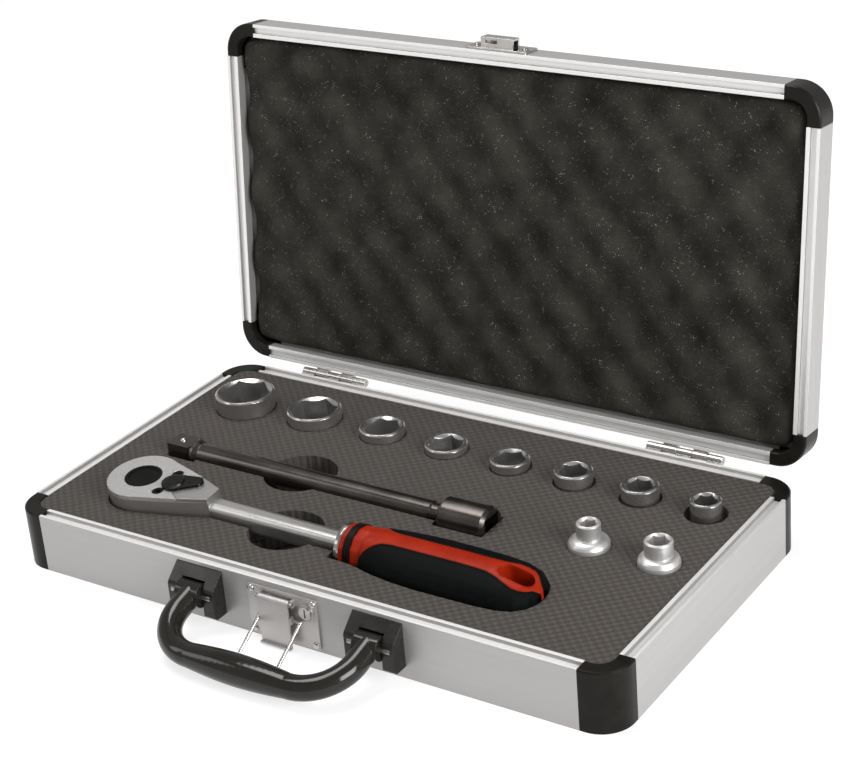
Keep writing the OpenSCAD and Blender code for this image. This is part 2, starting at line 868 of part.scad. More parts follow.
module lid_catch() {
    hook_z = catch_foot + 1.6;
    color("#aeaca8")
        on_lid() {
            translate([latch_x, front_y, (catch_foot + catch_top) / 2])
                stand()
                    linear_extrude(plate_t)
                        rounded_rect(catch_w, catch_top - catch_foot, 1.5);
            difference() {
                translate([latch_x - hook_w / 2, front_y - plate_t - hook_h, hook_z])
                    cube([hook_w, hook_h + eps, hook_d]);
                translate([latch_x - hook_w, front_y - plate_t - hook_h + plate_t,
                           hook_z + plate_t])
                    cube([2 * hook_w, hook_h - plate_t + 0.01, hook_d - 2 * plate_t]);
                translate([latch_x - hook_w * 0.35, front_y - plate_t - hook_h * 0.75,
                           hook_z - 1])
                    cube([hook_w * 0.36, hook_h * 0.35, 2.5]);
            }
        }
}

module lid_rivets() {
    color("#c9c7c4")
        on_lid() {
            for (s = [-1, 1], dx = [-1, 0, 1])
                translate([s * hinge_span / 2 + dx * hinge_w * 0.36, back_y + plate_t,
                           hinge_z + lid_leaf_h - 3.2])
                    rotate([-90, 0, 0])
                        rivet_head();
            for (sx = [-1, 1])
                translate([latch_x + sx * (catch_w / 2 - 4), front_y - plate_t,
                           (catch_foot + catch_top) / 2])
                    stand()
                        rivet_head();
        }
}

// ---- lid ----

module lid_panel() {
    inset = wall_t + panel_gap;
    color("#8d8b8a")
        on_lid()
            lid_shell()
                linear_extrude(lid_panel_t)
                    rounded_rect(case_w - 2 * inset, case_d - 2 * inset, corner_r - inset);
}

module lid_front_rail() {
    color("#b9b6b4")
        on_lid()
            lid_shell()
                front_rail(lid_h, lid_rim_w, lid_groove_depth, lid_panel_t);
}

module lid_back_rail() {
    color("#b9b6b4")
        on_lid()
            lid_shell()
                rotate([0, 0, 180])
                    front_rail(lid_h, lid_rim_w, lid_groove_depth, lid_panel_t);
}

module lid_left_rail() {
    color("#c4c1c0")
        on_lid()
            lid_shell()
                side_rail(lid_h, lid_rim_w, lid_groove_depth, lid_panel_t);
}

module lid_right_rail() {
    color("#c4c1c0")
        on_lid()
            lid_shell()
                rotate([0, 0, 180])
                    side_rail(lid_h, lid_rim_w, lid_groove_depth, lid_panel_t);
}

foam_w = case_w - 2 * (lid_rim_w + lid_foam_gap);
foam_d = case_d - 2 * (lid_rim_w + lid_foam_gap);
wave_nx = round(foam_w / wave_x * 4);
wave_ny = round(foam_d / wave_y * 2);

// Height of the egg-crate face over the lid foam's flat back
function wave(x, y) = lid_h - lid_panel_t - crest_drop - wave_h / 2 * (1
    - cos(360 * x / wave_x) * cos(180 * y / wave_y));

// Draws a point of the lid foam inwards where the lid's corner is rounded
function eased(x, y) = let (r = corner_r - lid_rim_w, a = r - lid_foam_gap,
    d = [max(0, abs(x) - foam_w / 2 + a), max(0, abs(y) - foam_d / 2 + a)],
    f = 1 - min(1, (r - 0.4) / max(norm(d), 0.01)))
    [x - sign(x) * d[0] * f, y - sign(y) * d[1] * f];

module lid_foam() {
    nx = wave_nx + 1;
    ny = wave_ny + 1;
    xs = [for (i = [0 : wave_nx]) foam_w * (i / wave_nx - 0.5)];
    ys = [for (j = [0 : wave_ny]) foam_d * (j / wave_ny - 0.5)];
    top = [for (y = ys, x = xs) let (p = eased(x, y)) [p[0], p[1], wave(x, y)]];
    low = [for (y = ys, x = xs) let (p = eased(x, y)) [p[0], p[1], 0]];
    n = nx * ny;
    color("#1c1b1a")
        on_lid()
            lid_shell()
                translate([0, 0, lid_panel_t])
                    polyhedron(concat(top, low), concat(
                        [for (j = [0 : ny - 2], i = [0 : nx - 2], k = [0, 1])
                            let (a = j * nx + i)
                            k == 0 ? [a, a + nx, a + 1] : [a + 1, a + nx, a + nx + 1]],
                        [for (j = [0 : ny - 2], i = [0 : nx - 2], k = [0, 1])
                            let (a = n + j * nx + i)
                            k == 0 ? [a, a + 1, a + nx] : [a + 1, a + nx + 1, a + nx]],
                        [for (i = [0 : nx - 2], k = [0, 1])
                            k == 0 ? [i, i + 1, n + i] : [i + 1, n + i + 1, n + i]],
                        [for (i = [0 : nx - 2], k = [0, 1])
                            let (a = (ny - 1) * nx + i)
                            k == 0 ? [a, n + a, a + 1] : [a + 1, n + a, n + a + 1]],
                        [for (j = [0 : ny - 2], k = [0, 1])
                            let (a = j * nx)
                            k == 0 ? [a, n + a, a + nx] : [a + nx, n + a, n + a + nx]],
                        [for (j = [0 : ny - 2], k = [0, 1])
                            let (a = j * nx + nx - 1)
                            k == 0 ? [a, a + nx, n + a] : [a + nx, n + a + nx, n + a]]));
}

// ---- ratchet ----

// Ratchet frame: x from the drive axis to the grip, z up from the grip's axis
module on_ratchet() {
    translate([ratchet_at[0], ratchet_at[1], foam_top + ratchet_up])
        rotate([ratchet_roll, 0, 0])
            children();
}

// Arrow between the cover's notch and the neck
module arrow_outline(g) {
    polygon([[notch_x + 1.2 * g, 0], [shoulder_x + g * 0.4, shoulder_w - g],
             [neck_x, neck_w / 2], [neck_x, -neck_w / 2],
             [shoulder_x + g * 0.4, -shoulder_w + g]]);
}

// Wings of the cover plate, which run from its round part to the shoulders
module cover_wings() {
    t = atan2(shoulder_w, shoulder_x) + acos(head_r / norm([shoulder_x, shoulder_w]));
    in = head_r - 0.2;
    polygon([[0, 0], in * [cos(t), sin(t)], [shoulder_x, shoulder_w],
             [shoulder_x, -shoulder_w], in * [cos(t), -sin(t)]]);
}

module neck_section() {
    r = 4;
    translate([-neck_t / 2 + r, -neck_w / 2])
        square([neck_t - 2 * r, neck_w]);
    translate([-neck_t / 2, -neck_w / 2 + r])
        square([neck_t, neck_w - 2 * r]);
    for (sx = [-1, 1], sy = [-1, 1])
        translate([sx * (neck_t / 2 - r), sy * (neck_w / 2 - r)])
            circle(r, $fn = 32);
}

gear_floor = head_floor + 2.5;
gear_top = face_h - cover_t - button_travel - 0.9;

module ratchet_body() {
    color("#b3afab")
        on_ratchet()
            difference() {
                union() {
                    translate([0, 0, head_floor])
                        linear_extrude(head_t - cover_t)
                            head_outline(0);
                    translate([0, 0, face_h - cover_t - eps])
                        linear_extrude(cover_t + eps)
                            arrow_outline(0.2);
                    translate([neck_x - 6, 0, 0])
                        along_x()
                            linear_extrude(collar_x - neck_x + 6)
                                neck_section();
                }
                translate([0, 0, gear_floor])
                    cylinder(r = gear_r + run_fit, h = head_t);
                translate([0, 0, head_floor - 1])
                    cylinder(r = gear_r - 2 + run_fit, h = head_t);
                translate([gear_r - 2, -6, gear_floor])
                    cube([6.4, 12, gear_top + 0.4 - gear_floor]);
                translate([switch_x, 0, face_h - cover_t - 5])
                    cylinder(r = 2.9 + pin_fit, h = 20, $fn = 32);
                for (s = [-1, 1])
                    translate([cover_screw[0], s * cover_screw[1], face_h - cover_t - 5])
                        cylinder(r = 1.5 + pin_fit, h = 20, $fn = 32);
            }
}

module ratchet_cover() {
    color("#bdb9b5")
        on_ratchet()
            translate([0, 0, face_h - cover_t])
                difference() {
                    union() {
                        cylinder(r = head_r, h = cover_t);
                        linear_extrude(cover_t)
                            cover_wings();
                    }
                    translate([0, 0, -1])
                        linear_extrude(cover_t + 2)
                            polygon([[notch_x, 0], [shoulder_x + 3, shoulder_w + 1.9],
                                     [shoulder_x + 9, 0], [shoulder_x + 3, -shoulder_w - 1.9]]);
                    translate([0, 0, -1])
                        cylinder(r = button_r + 0.2, h = cover_t + 2);
                    for (s = [-1, 1])
                        translate([cover_screw[0], s * cover_screw[1], -1])
                            cylinder(r = cover_screw_r + pin_fit, h = cover_t + 2, $fn = 32);
                }
}

module cover_screws() {
    color("#1a1918")
        on_ratchet()
            for (s = [-1, 1])
                translate([cover_screw[0], s * cover_screw[1], face_h - cover_t])
                    difference() {
                        union() {
                            cylinder(r = cover_screw_r, h = cover_t - 0.3, $fn = 32);
                            translate([0, 0, -4])
                                cylinder(r = 1.5, h = 4 + eps, $fn = 32);
                        }
                        translate([0, 0, cover_t - 1.5])
                            cylinder(r = 1.6, h = 2, $fn = 6);
                    }
}

// Gear profile: one tooth for each step of the angle
module gear_outline() {
    polygon([for (i = [0 : gear_teeth - 1], k = [0, 1])
        let (a = (i + k / 2) * 360 / gear_teeth)
        (k == 0 ? gear_r : gear_r - tooth_h) * [cos(a), sin(a)]]);
}

// Height of the joint between the gear and the square that turns with it
drive_seam = head_floor + 2;

module drive_bore() {
    translate([0, 0, head_floor + 1])
        cylinder(r = 3 + pin_fit, h = head_t, $fn = 32);
}

module drive_gear() {
    color("#8f8c89")
        on_ratchet()
            difference() {
                union() {
                    translate([0, 0, gear_floor + 0.1])
                        linear_extrude(gear_top - gear_floor - 0.1)
                            gear_outline();
                    translate([0, 0, drive_seam])
                        cylinder(r = gear_r - 2, h = gear_top - 0.4 - drive_seam);
                }
                drive_bore();
            }
}

module drive_square() {
    color("#8f8c89")
        on_ratchet()
            difference() {
                union() {
                    translate([0, 0, head_floor - 0.4])
                        cylinder(r = gear_r - 2, h = drive_seam - head_floor + 0.4);
                    translate([0, 0, head_floor - drive_l / 2])
                        cube([drive_sq, drive_sq, drive_l], center = true);
                }
                drive_bore();
            }
}

// Pawl that catches the gear, on the side of the reversing lever
module selector_pawl() {
    color("#6f6d6a")
        on_ratchet()
            translate([0, 0, gear_floor + 0.2])
                linear_extrude(gear_top - gear_floor - 0.4)
                    difference() {
                        translate([gear_r - 1, -5])
                            square([4.8, 10]);
                        circle(gear_r + 0.15);
                    }
}

module release_button() {
    color("#1b1a18")
        on_ratchet() {
            difference() {
                translate([0, 0, face_h - cover_t - 0.6])
                    cylinder(r = button_r, h = cover_t + 0.8);
                translate([0, 0, face_h - 0.3])
                    cylinder(r = button_r - 1.8, h = 2);
            }
            translate([0, 0, head_floor + 6])
                cylinder(r = 3, h = face_h - cover_t - 0.6 - head_floor - 6 + eps, $fn = 32);
        }
}

module reversing_lever() {
    color("#1e1d1b")
        on_ratchet()
            translate([switch_x, 0, 0])
                rotate([0, 0, switch_turn]) {
                    translate([0, 0, face_h + 0.1]) {
                        cylinder(r = 7.2, h = switch_t * 0.7);
                        cylinder(r1 = 6.4, r2 = 5.2, h = switch_t);
                        linear_extrude(switch_t * 0.7)
                            polygon([[2, 6.6], [switch_l - 2, 4], [switch_l - 2, -4], [2, -6.6]]);
                        translate([switch_l - 2, 0, 0])
                            cylinder(r = 4, h = switch_t * 0.7);
                    }
                    translate([0, 0, face_h - cover_t - 4])
                        cylinder(r = 2.9, h = cover_t + 4.2, $fn = 32);
                }
}

grip_x0 = collar_x + collar_l;

// Half width and half height of the grip at shares of its length
grip_widths = [[0, grip_start_r], [0.06, grip_start_r + 0.3], [0.12, grip_w * 0.73],
               [0.2, grip_w * 0.85], [0.32, grip_w * 0.95], [0.46, grip_w], [0.62, grip_w * 0.99],
               [0.76, grip_w * 0.98], [0.86, grip_w * 0.93], [0.93, grip_w * 0.81],
               [0.975, grip_w * 0.58], [1, grip_w * 0.26]];
grip_heights = [[0, grip_start_r], [0.06, grip_start_r], [0.12, grip_t * 0.99], [0.2, grip_t],
                [0.62, grip_t], [0.76, grip_t * 0.97], [0.86, grip_t * 0.88],
                [0.93, grip_t * 0.72], [0.975, grip_t * 0.5], [1, grip_t * 0.26]];

// Stations of the grip: share of its length, half width and half height
grip_stations = [
    for (s = [0, 0.06, 0.12, 0.124, 0.131, 0.144, 0.162, 0.185, 0.215, 0.26, 0.32, 0.39, 0.46,
              0.54, 0.62, 0.7, 0.76, 0.81, 0.86, 0.9, 0.93, 0.955, 0.975, 0.99, 1])
        [s, lookup(s, grip_widths), lookup(s, grip_heights)]];
pad_from = 0.118;
pad_nose = 0.13;

// Half the width of the spine at a share of the grip's length
function spine(s) = (spine_w + 4.2 * exp(-pow((s - 0.9) / 0.09, 2))) * min(1, (1.015 - s) / 0.07);

// Share of its full height that a pad has near its round start
function pad_round(s) = let (t = min(1, max(0, (s - pad_from) / pad_nose)))
    sqrt(1 - pow(1 - t, 2));

// Angle from the grip's side to the edge of a pad
function pad_angle(s, w) = 90 - acos(min(spine(s) / w, 0.93)) * max(0.04, pad_round(s));

// Point of the grip's surface at station s and angle a, moved in by d
function grip_point(s, a, d) = [grip_x0 + s[0] * grip_l, (s[1] - d) * cos(a),
                                (s[2] - d) * sin(a)];

// Depth of a pad at a station; the plain start has next to none
function pad_depth(s) = s[0] < 0.119 ? 0.05 : pad_t * min(1, s[2] / 8);

pad_stations = [for (s = grip_stations) if (s[0] > 0.1) s];
// The core's stations: plain start with the groove of the ring, then those of the pads
core_stations = concat(
    [for (p = [[0, 0], [ring_at, 0], [ring_at + eps, 1.5], [ring_at + ring_w - eps, 1.5],
               [ring_at + ring_w, 0], [ring_at + ring_w + 5, -0.1]])
        [p[0] / grip_l, grip_start_r - p[1], grip_start_r - p[1]]], pad_stations);
spine_n = 6;
pad_n = 10;

// Ring of the core: spine above, side let in for a pad, spine below, other side
function core_ring(s) =
    let (e = pad_angle(s[0], s[1]), d = pad_depth(s))
    [for (q = [0 : 3], k = [0 : (q % 2 == 0 ? spine_n : pad_n)])
        let (half = q % 2 == 0 ? e : 90 - e, steps = q % 2 == 0 ? spine_n : pad_n,
             mid = 90 + q * 90)
        grip_point(s, mid - half + 2 * half * k / steps, q % 2 == 0 ? 0 : d)];

// Ring of one pad: outer face one way and inner face back; mid is the angle of its side
function pad_ring(s, mid) =
    let (half = 90 - pad_angle(s[0], s[1]), d = pad_depth(s))
    [for (q = [0, 1], k = [0 : pad_n])
        grip_point(s, mid + (q == 0 ? -half + 2 * half * k / pad_n
                                    : half - 2 * half * k / pad_n), q == 0 ? 0 : d)];

// Solid through a row of rings; the cut of the quads turns over with flip
module loft(rows, flip) {
    m = len(rows[0]);
    n = len(rows);
    polyhedron([for (r = rows, p = r) p], concat(
        [for (i = [0 : n - 2], k = [0 : m - 1], t = [0, 1])
            let (a = i * m + k, b = i * m + (k + 1) % m)
            flip ? (t == 0 ? [a, b + m, b] : [a, a + m, b + m])
                 : (t == 0 ? [a, a + m, b] : [b, a + m, b + m])],
        [[for (k = [0 : m - 1]) k]],
        [[for (k = [m - 1 : -1 : 0]) (n - 1) * m + k]]));
}

module hang_hole() {
    translate([grip_x0 + grip_l * 0.88, 0, -30])
        linear_extrude(60) {
            square([hang_l - 2 * hang_w, 2 * hang_w], center = true);
            for (s = [-1, 1])
                translate([s * (hang_l / 2 - hang_w), 0])
                    circle(hang_w, $fn = 32);
        }
}

module grip_core() {
    color("#b43414")
        on_ratchet()
            difference() {
                loft([for (s = core_stations) core_ring(s)], false);
                hang_hole();
            }
}

module grip_pads() {
    color("#101112")
        on_ratchet()
            for (mid = [0, 180])
                loft([for (s = pad_stations) pad_ring(s, mid)], true);
}

module grip_ring() {
    color("#101010")
        on_ratchet()
            translate([grip_x0 + ring_at + 0.1, 0, 0])
                along_x()
                    difference() {
                        cylinder(r = grip_start_r + ring_over, h = ring_w - 0.2);
                        translate([0, 0, -1])
                            cylinder(r = grip_start_r - 1.4, h = ring_w + 2);
                    }
}

module grip_collar() {
    color("#d2d0ce")
        on_ratchet()
            translate([collar_x, 0, 0])
                along_x()
                    rotate_extrude()
                        polygon([[0, 0], [neck_w / 2 + 3, 0], [grip_start_r - 0.6, collar_l * 0.4],
                                 [grip_start_r - 0.2, collar_l * 0.8], [grip_start_r - 0.6, collar_l],
                                 [0, collar_l]]);
}

// ---- extension bar ----

module on_bar() {
    translate([bar_start, bar_at[1], foam_top])
        children();
}

module extension_bar() {
    neck_at = bar_l - bar_end_l - bar_neck_l;
    color("#a5a19d")
        on_bar()
            difference() {
                union() {
                    translate([drive_l, 0, 0])
                        along_x()
                            rotate_extrude()
                                polygon([[0, -1], [drive_sq / 2, -1], [drive_sq / 2 + 1.6, 1],
                                         [drive_sq / 2 + 1.6, 2.5], [bar_r, 5],
                                         [bar_r, neck_at - drive_l],
                                         [bar_r - 0.7, neck_at - drive_l + 1],
                                         [bar_r - 0.7, bar_l - bar_end_l - drive_l - 3],
                                         [bar_end_r - 1, bar_l - bar_end_l - drive_l],
                                         [bar_end_r, bar_l - bar_end_l - drive_l + 1.5],
                                         [bar_end_r, bar_l - drive_l - 2],
                                         [bar_end_r - 1.6, bar_l - drive_l],
                                         [0, bar_l - drive_l]]);
                    translate([0, -drive_sq / 2, -drive_sq / 2])
                        cube([drive_l, drive_sq, drive_sq]);
                }
                translate([bar_l - drive_l - 1, -square_hole / 2, -square_hole / 2])
                    cube([drive_l + 2, square_hole, square_hole]);
                translate([drive_l * 0.45, 0, drive_sq / 2 - ball_r * 0.4])
                    sphere(ball_r + 0.1, $fn = 32);
            }
}

module extension_ball() {
    color("#d8d6d4")
        on_bar()
            translate([drive_l * 0.45, 0, drive_sq / 2 - ball_r * 0.4])
                sphere(ball_r, $fn = 32);
}

// ---- sockets ----

// Half section of socket i: drive end, blend and mouth, with eased ends
function socket_section(i) =
    let (rd = socket_drive_r[i], rt = socket_r[i], l = socket_len[i], c = socket_chamfer)
    concat([[0, 0], [rd - c, 0], [rd, c]],
           [for (a = [0 : 18 : 90])
               [rt + (rd - rt) * cos(a), socket_step[i] + socket_blend[i] * sin(a)]],
           [[rt, l - c], [rt - c, l], [0, l]]);

module socket(i) {
    hex_r = socket_hex[i] / sqrt(3);
    hex_depth = socket_len[i] - square_depth - 3;
    color("#a9a6a2")
        translate([socket_x[i], socket_y[i], socket_floor(i)])
            rotate([0, 0, socket_turn[i]])
                difference() {
                    rotate_extrude()
                        polygon(socket_section(i));
                    translate([0, 0, socket_len[i] - hex_depth])
                        cylinder(r = hex_r, h = hex_depth + 1, $fn = 6);
                    translate([0, 0, socket_len[i] - 1.5])
                        cylinder(r1 = socket_hex[i] / 2, r2 = hex_r + 0.45, h = 1.51);
                    translate([0, 0, -1])
                        cylinder(r = min(6, socket_hex[i] * 0.42), h = socket_len[i]);
                    translate([0, 0, square_depth / 2 - 0.5])
                        cube([square_hole, square_hole, square_depth + 1], center = true);
                }
}

base_panel();
base_front_rail();
base_back_rail();
base_left_rail();
base_right_rail();
color("#26241f") base_part(0, 0);  // base_corner_fl
color("#26241f") base_part(1, 0);  // base_corner_fr
color("#26241f") base_part(0, 1);  // base_corner_bl
color("#26241f") base_part(1, 1);  // base_corner_br
foam_tray();
foam_base();
foam_spacers();
hinge_base_leaves();
hinge_pins();
base_rivets();
handle_bracket_left();
handle_bracket_right();
handle_pins();
latch_plate();
latch_ears();
lock_bezel();
latch_pin();
lid_panel();
lid_front_rail();
lid_back_rail();
lid_left_rail();
lid_right_rail();
color("#26241f") lid_corner(0, 0);  // lid_corner_fl
color("#26241f") lid_corner(1, 0);  // lid_corner_fr
color("#26241f") lid_corner(0, 1);  // lid_corner_bl
color("#26241f") lid_corner(1, 1);  // lid_corner_br
lid_foam();
hinge_lid_leaves();
lid_rivets();
lid_catch();
carry_handle();
latch_lever();
latch_bail();
lock_barrel();
ratchet_body();
ratchet_cover();
cover_screws();
selector_pawl();
grip_collar();
grip_core();
grip_pads();
grip_ring();
drive_gear();
drive_square();
reversing_lever();
release_button();
extension_bar();
extension_ball();
socket(0);  // socket_27
socket(1);  // socket_24
socket(2);  // socket_19
socket(3);  // socket_17
socket(4);  // socket_16
socket(5);  // socket_14
socket(6);  // socket_13
socket(7);  // socket_11
socket(8);  // socket_8
socket(9);  // socket_10
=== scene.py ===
import bpy
import bmesh
import math
from mathutils import Vector, Matrix, noise


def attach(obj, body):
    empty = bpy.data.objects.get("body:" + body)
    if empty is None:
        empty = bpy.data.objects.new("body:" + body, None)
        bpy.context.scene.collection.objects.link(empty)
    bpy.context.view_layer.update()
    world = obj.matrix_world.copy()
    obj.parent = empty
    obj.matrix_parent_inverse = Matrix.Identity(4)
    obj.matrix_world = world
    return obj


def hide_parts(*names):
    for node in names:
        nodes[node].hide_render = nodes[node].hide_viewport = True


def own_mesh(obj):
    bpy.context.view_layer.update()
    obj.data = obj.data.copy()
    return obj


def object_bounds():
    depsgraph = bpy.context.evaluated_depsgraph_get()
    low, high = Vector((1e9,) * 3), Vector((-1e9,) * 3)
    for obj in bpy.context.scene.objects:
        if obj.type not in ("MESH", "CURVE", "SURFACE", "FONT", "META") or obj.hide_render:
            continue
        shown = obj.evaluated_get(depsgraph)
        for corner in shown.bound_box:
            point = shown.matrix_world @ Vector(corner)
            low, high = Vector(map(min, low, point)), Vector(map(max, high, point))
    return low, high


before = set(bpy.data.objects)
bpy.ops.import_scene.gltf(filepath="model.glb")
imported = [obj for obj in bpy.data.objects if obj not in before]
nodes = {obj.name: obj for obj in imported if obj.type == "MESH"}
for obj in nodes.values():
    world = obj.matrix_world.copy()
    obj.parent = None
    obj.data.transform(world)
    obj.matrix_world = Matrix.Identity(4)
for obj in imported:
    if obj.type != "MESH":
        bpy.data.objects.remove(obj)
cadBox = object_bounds()
print("case and tools loaded:", len(nodes), "nodes")


# ---------- helpers for materials ----------

# noise lies mostly between these two values, so ramps and ranges start and end there
noiseLow, noiseHigh = 0.3, 0.7
noiseRoughness = 0.55
bevelSamples = 4


def startMaterial(name):
    mat = bpy.data.materials.new(name)
    mat.use_nodes = True
    tree = mat.node_tree
    shader = tree.nodes["Principled BSDF"]
    return mat, tree, shader


def coordAxes(tree, kind):
    coord = tree.nodes.new("ShaderNodeTexCoord")
    split = tree.nodes.new("ShaderNodeSeparateXYZ")
    tree.links.new(coord.outputs[kind], split.inputs["Vector"])
    return split.outputs


def maths(tree, operation, *terms):
    node = tree.nodes.new("ShaderNodeMath")
    node.operation = operation
    for socket, term in zip(node.inputs, terms):
        if isinstance(term, (int, float)):
            socket.default_value = term
        else:
            tree.links.new(term, socket)
    return node.outputs[0]


def remap(tree, value, fromLow, fromHigh, toLow=0.0, toHigh=1.0, kind="LINEAR"):
    node = tree.nodes.new("ShaderNodeMapRange")
    node.interpolation_type = kind
    ends = {"From Min": fromLow, "From Max": fromHigh, "To Min": toLow, "To Max": toHigh}
    for name, number in ends.items():
        node.inputs[name].default_value = number
    tree.links.new(value, node.inputs["Value"])
    return node.outputs["Result"]


def objectCoords(tree, scale=(1, 1, 1)):
    coord = tree.nodes.new("ShaderNodeTexCoord")
    mapping = tree.nodes.new("ShaderNodeMapping")
    mapping.inputs["Scale"].default_value = scale
    tree.links.new(coord.outputs["Object"], mapping.inputs["Vector"])
    return mapping.outputs["Vector"]


def noiseFrom(tree, coords, scale, detail):
    tex = tree.nodes.new("ShaderNodeTexNoise")
    tex.inputs["Scale"].default_value = scale
    tex.inputs["Detail"].default_value = detail
    tex.inputs["Roughness"].default_value = noiseRoughness
    tree.links.new(coords, tex.inputs["Vector"])
    return tex.outputs["Fac"]


def rampBetween(tree, value, low, high, start=noiseLow, end=noiseHigh):
    ramp = tree.nodes.new("ShaderNodeValToRGB")
    ramp.color_ramp.elements[0].position = start
    ramp.color_ramp.elements[0].color = (*low, 1)
    ramp.color_ramp.elements[1].position = end
    ramp.color_ramp.elements[1].color = (*high, 1)
    tree.links.new(value, ramp.inputs["Fac"])
    return ramp.outputs["Color"]


def spread(tree, value, low, high):
    return remap(tree, value, noiseLow, noiseHigh, low, high)


def easedEdges(tree, radius):
    bevel = tree.nodes.new("ShaderNodeBevel")
    bevel.samples = bevelSamples
    bevel.inputs["Radius"].default_value = radius
    return bevel.outputs["Normal"]


def bumpFrom(tree, shader, height, distance, strength=1.0, edge=0.0):
    bump = tree.nodes.new("ShaderNodeBump")
    bump.inputs["Distance"].default_value = distance
    bump.inputs["Strength"].default_value = strength
    tree.links.new(height, bump.inputs["Height"])
    if edge:
        tree.links.new(easedEdges(tree, edge), bump.inputs["Normal"])
    tree.links.new(bump.outputs["Normal"], shader.inputs["Normal"])


def dress(nodeName, mat):
    mesh = nodes[nodeName].data
    mesh.materials.clear()
    mesh.materials.append(mat)


# ---------- rolled and brushed aluminium of the rails ----------

railLook = {"wall": (0.40, 0.388, 0.381), "lip": (0.84, 0.83, 0.82), "roughLow": 0.34, "roughHigh": 0.42,
            "grain": 260.0, "fineGrain": 1560.0, "stretch": 60.0, "streak": 0.20, "streakDark": (0.75, 0.75, 0.75),
            "lipStart": 0.6, "lipFull": 0.9, "bump": 0.00001, "edge": 0.0004, "metal": 0.55}


def facing(tree, axis, sign):
    normal = coordAxes(tree, "Normal")[axis.upper()]
    return remap(tree, normal, railLook["lipStart"] * sign, railLook["lipFull"] * sign)


def tinted(tree, factor, first, second, blend="MIX"):
    mix = tree.nodes.new("ShaderNodeMix")
    mix.data_type = "RGBA"
    mix.blend_type = blend
    for socket, value in ((mix.inputs["Factor"], factor), (mix.inputs[6], first), (mix.inputs[7], second)):
        if isinstance(value, tuple):
            socket.default_value = (*value, 1)
        elif isinstance(value, float):
            socket.default_value = value
        else:
            tree.links.new(value, socket)
    return mix.outputs[2]


# faces turned along the lip axis, the lips that meet when the case shuts, get a painted highlight colour much
# brighter than the walls
def brushedAluminium(name, along, lipAxis, lipSign):
    mat, tree, shader = startMaterial(name)
    stretch = [1.0, 1.0, 1.0]
    stretch["xyz".index(along)] = 1.0 / railLook["stretch"]
    coords = objectCoords(tree, stretch)
    grain = noiseFrom(tree, coords, railLook["fineGrain"], 4)
    wide = noiseFrom(tree, coords, railLook["grain"], 2)
    # mix from the wall colour toward the painted lip highlight by facing direction
    metal = tinted(tree, facing(tree, lipAxis, lipSign), railLook["wall"], railLook["lip"])
    streaks = rampBetween(tree, grain, railLook["streakDark"], (1, 1, 1))
    tree.links.new(tinted(tree, railLook["streak"], metal, streaks, "MULTIPLY"), shader.inputs["Base Color"])
    tree.links.new(spread(tree, wide, railLook["roughLow"], railLook["roughHigh"]), shader.inputs["Roughness"])
    shader.inputs["Metallic"].default_value = railLook["metal"]
    bumpFrom(tree, shader, grain, railLook["bump"], 0.6, railLook["edge"])
    return mat


for part, lipAxis, lipSign, up in (("base", "z", 1, "y"), ("lid", "y", -1, "z")):
    across = brushedAluminium(part + "RailAcross", "x", lipAxis, lipSign)
    upright = brushedAluminium(part + "RailUpright", up, lipAxis, lipSign)
    for side in ("front", "back"):
        dress(part + "_" + side + "_rail", across)
    for side in ("left", "right"):
        dress(part + "_" + side + "_rail", upright)


# ---------- moulded plastics ----------

def mouldedPlastic(name, look):
    mat, tree, shader = startMaterial(name)
    coords = objectCoords(tree)
    mottle = noiseFrom(tree, coords, look["mottle"], 3)
    tree.links.new(rampBetween(tree, mottle, look["dark"], look["light"]), shader.inputs["Base Color"])
    tree.links.new(spread(tree, mottle, look["roughLow"], look["roughHigh"]), shader.inputs["Roughness"])
    shader.inputs["Specular IOR Level"].default_value = look["gloss"]
    grain = noiseFrom(tree, coords, look["grain"], 2)
    bumpFrom(tree, shader, grain, look["bump"], 0.5, look["edge"])
    return mat


cornerLook = {"dark": (0.006, 0.0055, 0.0045), "light": (0.011, 0.010, 0.008), "mottle": 90, "roughLow": 0.26,
              "roughHigh": 0.38, "grain": 1500, "bump": 0.00003, "edge": 0.0007, "gloss": 0.12}
bracketLook = {"dark": (0.007, 0.006, 0.005), "light": (0.013, 0.011, 0.009), "mottle": 120, "roughLow": 0.20,
               "roughHigh": 0.32, "grain": 1200, "bump": 0.00003, "edge": 0.0006, "gloss": 0.35}
handleLook = {"dark": (0.010, 0.009, 0.007), "light": (0.016, 0.014, 0.012), "mottle": 60, "roughLow": 0.10,
              "roughHigh": 0.17, "grain": 700, "bump": 0.00003, "edge": 0.0005, "gloss": 0.36}
redLook = {"dark": (0.23, 0.011, 0.002), "light": (0.29, 0.016, 0.003), "mottle": 70, "roughLow": 0.30,
           "roughHigh": 0.40, "grain": 900, "bump": 0.00002, "edge": 0.0022, "gloss": 0.1}
blackPartLook = {"dark": (0.003, 0.003, 0.0026), "light": (0.006, 0.0055, 0.005), "mottle": 140, "roughLow": 0.34,
                 "roughHigh": 0.46, "grain": 1500, "bump": 0.00002, "edge": 0.0004, "gloss": 0.07}
switchLook = {"dark": (0.002, 0.002, 0.0018), "light": (0.005, 0.0045, 0.004), "mottle": 140, "roughLow": 0.07,
              "roughHigh": 0.13, "grain": 260, "bump": 0.0005, "edge": 0.0008, "gloss": 0.28}
padLook = {"dark": (0.0018, 0.002, 0.002), "light": (0.0035, 0.004, 0.004), "mottle": 160, "roughLow": 0.5,
           "roughHigh": 0.65, "grain": 2200, "bump": 0.0001, "edge": 0.003, "gloss": 0.045}
floorPanelLook = {"dark": (0.030, 0.028, 0.026), "light": (0.045, 0.042, 0.039), "mottle": 200, "roughLow": 0.6,
                  "roughHigh": 0.75, "grain": 900, "bump": 0.0001, "edge": 0.0003, "gloss": 0.25}
cornerPlastic = mouldedPlastic("cornerPlastic", cornerLook)
bracketPlastic = mouldedPlastic("bracketPlastic", bracketLook)
handlePlastic = mouldedPlastic("handlePlastic", handleLook)
